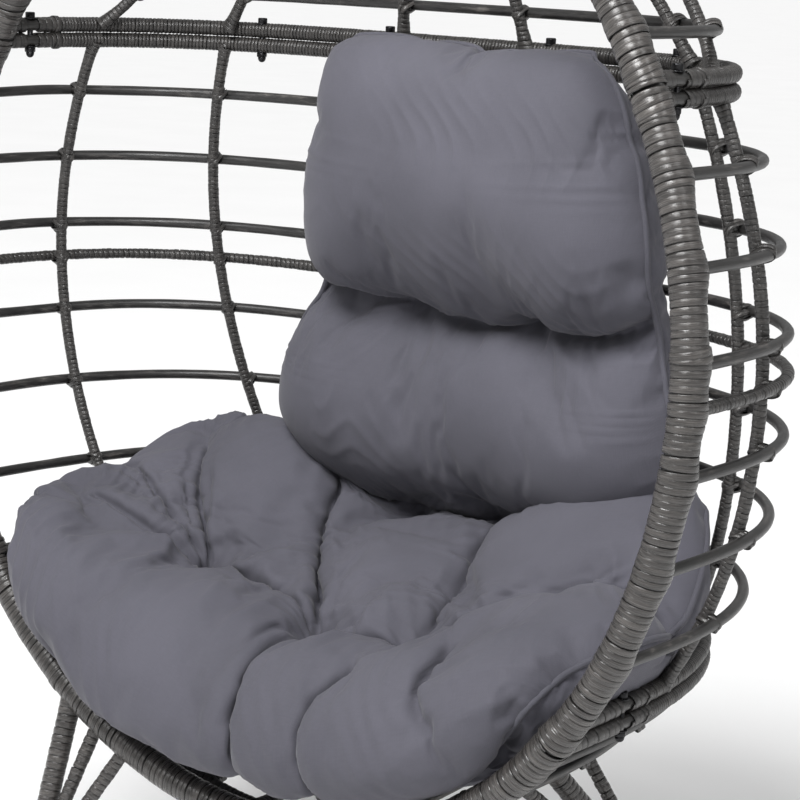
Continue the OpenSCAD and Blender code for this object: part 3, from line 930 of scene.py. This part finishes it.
dent = np.zeros((ROWS, COLUMNS))
hold = np.zeros((ROWS, COLUMNS))
for x, v, deep in BUTTONS:
    d = np.linalg.norm(flat - flat_xy(x, v), axis=-1)
    dent = np.maximum(dent, deep * np.exp(-((d / 0.030) ** 1.15)))
    hold = np.maximum(hold, (d < 0.010) * 1.0)
for first, last, deep in CREASES:
    t, _, d = crease_place(flat, first, last)
    fade = crease_fade(t, first, last)
    dent = np.maximum(dent, deep * fade * np.exp(-(np.abs(d) / 0.011)))
    hold = np.maximum(hold, np.where(np.abs(d) < 0.0045, 0.7 * fade, 0))
dent = np.minimum(dent, fat * 1.25)
front = front - normal * dent[..., None]


def inside_basket(points, gap):
    """Moves points that are beyond the basket's wall back inside it."""
    x, y, z = points.T
    z = np.maximum(z, RING_Z + 0.002)
    n = squareness(z)
    ahead = np.maximum(y - front_y(z), 0)
    reach = ((np.abs(x) / (half_width(z) - gap)) ** n + (ahead / (depth(z) - gap)) ** n) ** (1 / n)
    scale = np.where(reach > 1, 1 / reach, 1.0)
    return np.stack([x * scale, front_y(z) + (y - front_y(z)) * np.where(y > front_y(z), scale, 1),
                     z], -1)


def cushion_mesh():
    """One closed skin: the front grid, and the rear grid sharing its border."""
    border = np.zeros((ROWS, COLUMNS), bool)
    border[0] = border[-1] = True
    border[:, 0] = border[:, -1] = True
    index_front = np.arange(ROWS * COLUMNS).reshape(ROWS, COLUMNS)
    index_rear = np.where(border, index_front, 0)
    inner = np.flatnonzero(~border.ravel())
    index_rear.ravel()[inner] = ROWS * COLUMNS + np.arange(len(inner))
    points = np.concatenate([front.reshape(-1, 3), rear.reshape(-1, 3)[inner]])
    points[: ROWS * COLUMNS][border.ravel()] = middle.reshape(-1, 3)[border.ravel()]
    marks = np.concatenate([flat.reshape(-1, 2), flat.reshape(-1, 2)[inner]])
    marks = np.column_stack([marks, np.repeat((0.0, 1.0), (ROWS * COLUMNS, len(inner)))])

    def quads(i):
        return np.stack([i[:-1, :-1], i[:-1, 1:], i[1:, 1:], i[1:, :-1]], -1).reshape(-1, 4)

    faces = np.concatenate([quads(index_front), quads(index_rear)[:, ::-1]])
    mesh = bpy.data.meshes.new("cushion")
    mesh.from_pydata(points.tolist(), [], faces.tolist())
    mark = mesh.attributes.new("strip", "FLOAT_VECTOR", "POINT")
    mark.data.foreach_set("vector", marks.astype(np.float32).ravel())
    pins = np.concatenate([hold.ravel(), np.full(len(inner), 0.12)])
    return mesh, pins, index_front


mesh, pins, index_front = cushion_mesh()
co = inside_basket(points_of(mesh), 0.014)
mesh.vertices.foreach_set("co", co.ravel())
mesh.update()
cushion = bpy.data.objects.new("tufted_cushion", mesh)
link(cushion)


def cloth_place(piece):
    """Each point's place on the flat cloth, and 1 in the last column on the rear skin."""
    marks = np.empty(len(piece.data.vertices) * 3)
    piece.data.attributes["strip"].data.foreach_get("vector", marks)
    return marks.reshape(-1, 3)


def inflate(piece, weights, pressure=3.6, slack=0.11, frames=20, cap=0.024):
    """Fills the pad by cloth simulation, held at its buttons, then fixes the result."""
    group = piece.vertex_groups.new(name="held")
    for value in np.unique(np.round(weights, 2)):
        if value > 0:
            group.add(np.flatnonzero(np.round(weights, 2) == value).tolist(), float(value), "REPLACE")
    start = points_of(piece.data)
    cloth = piece.modifiers.new("Cloth", "CLOTH")
    settings = cloth.settings
    settings.quality = 6
    settings.mass = 0.25
    settings.tension_stiffness = settings.compression_stiffness = 22
    settings.shear_stiffness = 8
    settings.bending_stiffness = 0.03
    settings.tension_damping = settings.compression_damping = settings.shear_damping = 8
    settings.air_damping = 3
    settings.use_pressure = True
    settings.uniform_pressure_force = pressure
    settings.effector_weights.gravity = 0
    settings.vertex_group_mass = "held"
    settings.pin_stiffness = 1.0
    calm = piece.vertex_groups.new(name="calm")
    share = np.interp(cloth_place(piece)[:, 1], np.interp((0.45, 0.50), pad_v, flat[:, 0, 1]), (0, 1))
    calm.add(np.flatnonzero(share > 0.5).tolist(), 1.0, "REPLACE")
    settings.vertex_group_shrink = "calm"
    settings.shrink_min, settings.shrink_max = -slack, -slack * 0.4
    cloth.collision_settings.use_collision = False
    cloth.collision_settings.use_self_collision = False
    cloth.point_cache.frame_start, cloth.point_cache.frame_end = 1, frames
    scene = bpy.context.scene
    for f in range(1, frames + 1):
        scene.frame_set(f)
    evaluated = piece.evaluated_get(bpy.context.evaluated_depsgraph_get())
    moved = points_of(evaluated.data) - start
    piece.modifiers.remove(cloth)
    scene.frame_set(1)
    far = np.linalg.norm(moved, axis=1, keepdims=True)
    moved *= np.where(far > 0, cap * np.tanh(far / cap) / np.maximum(far, 1e-9), 1)
    done = inside_basket(start + moved, 0.0135)
    piece.data.vertices.foreach_set("co", done.ravel())
    piece.data.update()
    return done


shaped = inflate(cushion, pins)


def subdivide(piece, levels=1):
    piece.modifiers.new("Subdivision", "SUBSURF").levels = levels
    made = bpy.data.meshes.new_from_object(piece.evaluated_get(bpy.context.evaluated_depsgraph_get()))
    piece.modifiers.clear()
    piece.data = made


subdivide(cushion)


# Heights of the small folds: round the buttons, beside the creases, along the seam, over the seat
BUTTON_FOLD, CREASE_FOLD, SEAM_FOLD, SEAT_FOLD = 0.0078, 0.0056, 0.0060, 0.0040
# Depth of the stitched groove of a crease, and height of the two lips beside it
GROOVE, LIP = 0.0085, 0.0024


def wrinkle(piece):
    """Small folds that gather towards the buttons, the stitched creases and the outer seam."""
    data = piece.data
    place, marks = points_of(data), cloth_place(piece)
    normals = np.empty(place.size)
    data.vertex_normals.foreach_get("vector", normals)
    at = marks[:, :2]
    height = np.zeros(len(place))
    for k, (x, v, _) in enumerate(BUTTONS):
        off = at - flat_xy(x, v)
        d = np.linalg.norm(off, axis=1)
        turn = np.arctan2(off[:, 1], off[:, 0])
        wave = np.sin(turn * 9 + 5 * wander(turn * 1.3 + 9, 50 + k) + d * 22)
        ridge = (1 - np.abs(wave)) ** 1.6 * np.clip(0.45 + 0.8 * wander(turn * 2.1 + 9, 70 + k), 0, 1)
        height += BUTTON_FOLD * ridge * np.exp(-d / 0.048) * (1 - np.exp(-d / 0.016))
    for k, (first, last, _) in enumerate(CREASES):
        t, s, d = crease_place(at, first, last)
        away = np.abs(d)
        wave = np.sin(s / 0.0078 + 4 * wander(s / 0.035 + 9, 90 + k) + away * 30)
        strength = np.clip(0.25 + 0.9 * wander(s / 0.028 + 9, 110 + k) + 0.4 * np.sign(d), 0, 1)
        height += CREASE_FOLD * (1 - np.abs(wave)) ** 1.5 * strength \
            * np.exp(-away / 0.028) * (1 - np.exp(-away / 0.006))
        crisp = crease_fade(t, first, last) * (0.45 if first[1] > 0.47 else 1.0)
        height += crisp * (LIP * np.exp(-((away - 0.009) / 0.005) ** 2)
                           - GROOVE * np.exp(-((away / 0.0036) ** 1.3)))
    centre = np.interp(at[:, 1], flat[:, 0, 1], flat[:, [0, -1], 0].mean(1))
    half = np.interp(at[:, 1], flat[:, 0, 1], np.ptp(flat[:, [0, -1], 0], axis=1) / 2)
    reach = np.clip(half - np.abs(at[:, 0] - centre), 0, None)
    gather = np.sin(at[:, 1] / 0.0085 + 5 * wander(at[:, 1] / 0.03 + 3, 140) + reach * 14)
    height += SEAM_FOLD * (1 - np.abs(gather)) ** 1.5 * np.exp(-reach / 0.050) \
        * (1 - np.exp(-reach / 0.008)) * np.clip(0.3 + wander(at[:, 1] / 0.045 + 3, 141), 0, 1)
    slant = (at[:, 0] * 0.8 + at[:, 1] * 0.6) / 0.0072
    fold = np.sin(slant + 6 * wander(at[:, 0] / 0.06 + 30, 142) + 6 * wander(at[:, 1] / 0.07 + 9, 143))
    patch = wander(at[:, 0] / 0.05 + 30, 144) * wander(at[:, 1] / 0.06 + 9, 145)
    height += SEAT_FOLD * (1 - np.abs(fold)) ** 1.4 * np.clip(0.22 + 1.3 * patch, 0, 1)
    # The back and head panels lie smoother than the seat, and the rear skin smoother still
    seat_end, back_start = np.interp((0.45, 0.50), pad_v, flat[:, 0, 1])
    height *= np.interp(at[:, 1], (seat_end, back_start), (1.0, 0.42))
    height[marks[:, 2] > 0.5] *= 0.3
    place += normals.reshape(-1, 3) * height[:, None]
    data.vertices.foreach_set("co", place.ravel())
    data.update()


wrinkle(cushion)
cushion.data.polygons.foreach_set("use_smooth", np.ones(len(cushion.data.polygons), bool))
cushion.data.materials.append(CLOTH)
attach(cushion, "cushion")
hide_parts("seat_cushion", "back_cushion", "head_cushion")

# A welt follows the seam all round
rim = np.concatenate([index_front[0, :], index_front[1:, -1], index_front[-1, -2::-1],
                      index_front[-2:0:-1, 0]])
path = shaped[rim]
for _ in range(3):
    path = (np.roll(path, 1, 0) + 2 * path + np.roll(path, -1, 0)) / 4
shape = Shape()
angle = np.arange(10) * TAU / 10
tangent = unit(np.roll(path, -1, 0) - np.roll(path, 1, 0))
side = unit(np.cross(tangent, path - path.mean(0)))
across = np.cross(tangent, side)
ring = path[:, None] + 0.0031 * (np.cos(angle)[None, :, None] * side[:, None]
                                 + np.sin(angle)[None, :, None] * across[:, None])
along = np.concatenate([[0], np.cumsum(np.linalg.norm(np.diff(path, axis=0), axis=1))])
marks = together(along[:, None], angle[None] * 0.0031, 0.5)
shape.grid(ring, marks, ring=True, closed_rows=True)
shape.build("cushion_welt", "cushion", "cushion_cloth", [WELT], [])

# ---- Floor and light ----


def floor_material():
    m = Nodes("studio_floor")
    place = m.add("TexCoord").outputs["Object"]
    faint = m.noise(m.scaled(place, (3, 3, 3)), 1.0, 2.0)
    colour = m.ramp(faint, ((0.3, (0.93, 0.93, 0.93)), (0.7, (0.95, 0.95, 0.95))))
    return m.finish(colour, 0.9, Specular_IOR_Level=0.1)


def add_floor():
    angle = np.arange(96) * TAU / 96
    rings = np.array([0.5, 2, 6, 20, 60])
    points = np.stack([rings[:, None] * np.cos(angle), rings[:, None] * np.sin(angle),
                       np.full((5, 96), -0.0005)], -1)
    mesh = bpy.data.meshes.new("floor")
    index = np.arange(5 * 96).reshape(5, 96)
    near, far = index[:-1], index[1:]
    quads = np.stack([near, far, np.roll(far, -1, 1), np.roll(near, -1, 1)], -1).reshape(-1, 4)
    mesh.from_pydata(points.reshape(-1, 3).tolist(), [], quads.tolist() + [index[0].tolist()])
    mesh.materials.append(floor_material())
    floor = bpy.data.objects.new("floor", mesh)
    link(floor)


def softbox(name, azimuth, elevation, distance, size, power):
    """A soft box that faces the chair, azimuth 0 being straight in front of it; size in metres."""
    a, e = math.radians(azimuth), math.radians(elevation)
    back = Vector((math.sin(a) * math.cos(e), -math.cos(a) * math.cos(e), math.sin(e)))
    data = bpy.data.lights.new(name, "AREA")
    data.shape = "RECTANGLE"
    data.size, data.size_y = size
    data.energy = power
    light = bpy.data.objects.new(name, data)
    light.location = Vector((0, 0, 0.85)) + back * distance
    light.rotation_mode = "QUATERNION"
    light.rotation_quaternion = (-back).to_track_quat("-Z", "Y")
    link(light)


def sun_light(place, target, wide, power):
    data = bpy.data.lights.new("window", "SUN")
    data.angle = wide
    data.energy = power
    light = bpy.data.objects.new("window", data)
    light.rotation_mode = "QUATERNION"
    light.rotation_quaternion = (Vector(target) - Vector(place)).to_track_quat("-Z", "Y")
    link(light)


add_floor()
sun_light((-0.10, -2.35, 3.5), (0, 0, 0.5), 0.35, 2.1)
softbox("key", 20, 40, 1.3, (0.5, 0.5), 25)
softbox("left_box", -24, 22, 3.2, (0.30, 2.2), 8)
softbox("right_box", 84, 38, 3.0, (0.35, 2.2), 30)
world = bpy.data.worlds.new("studio")
world.use_nodes = True
world.node_tree.nodes["Background"].inputs[0].default_value = (1, 1, 1, 1)
world.node_tree.nodes["Background"].inputs[1].default_value = 0.49
bpy.context.scene.world = world
bpy.context.scene.view_settings.view_transform = "Standard"
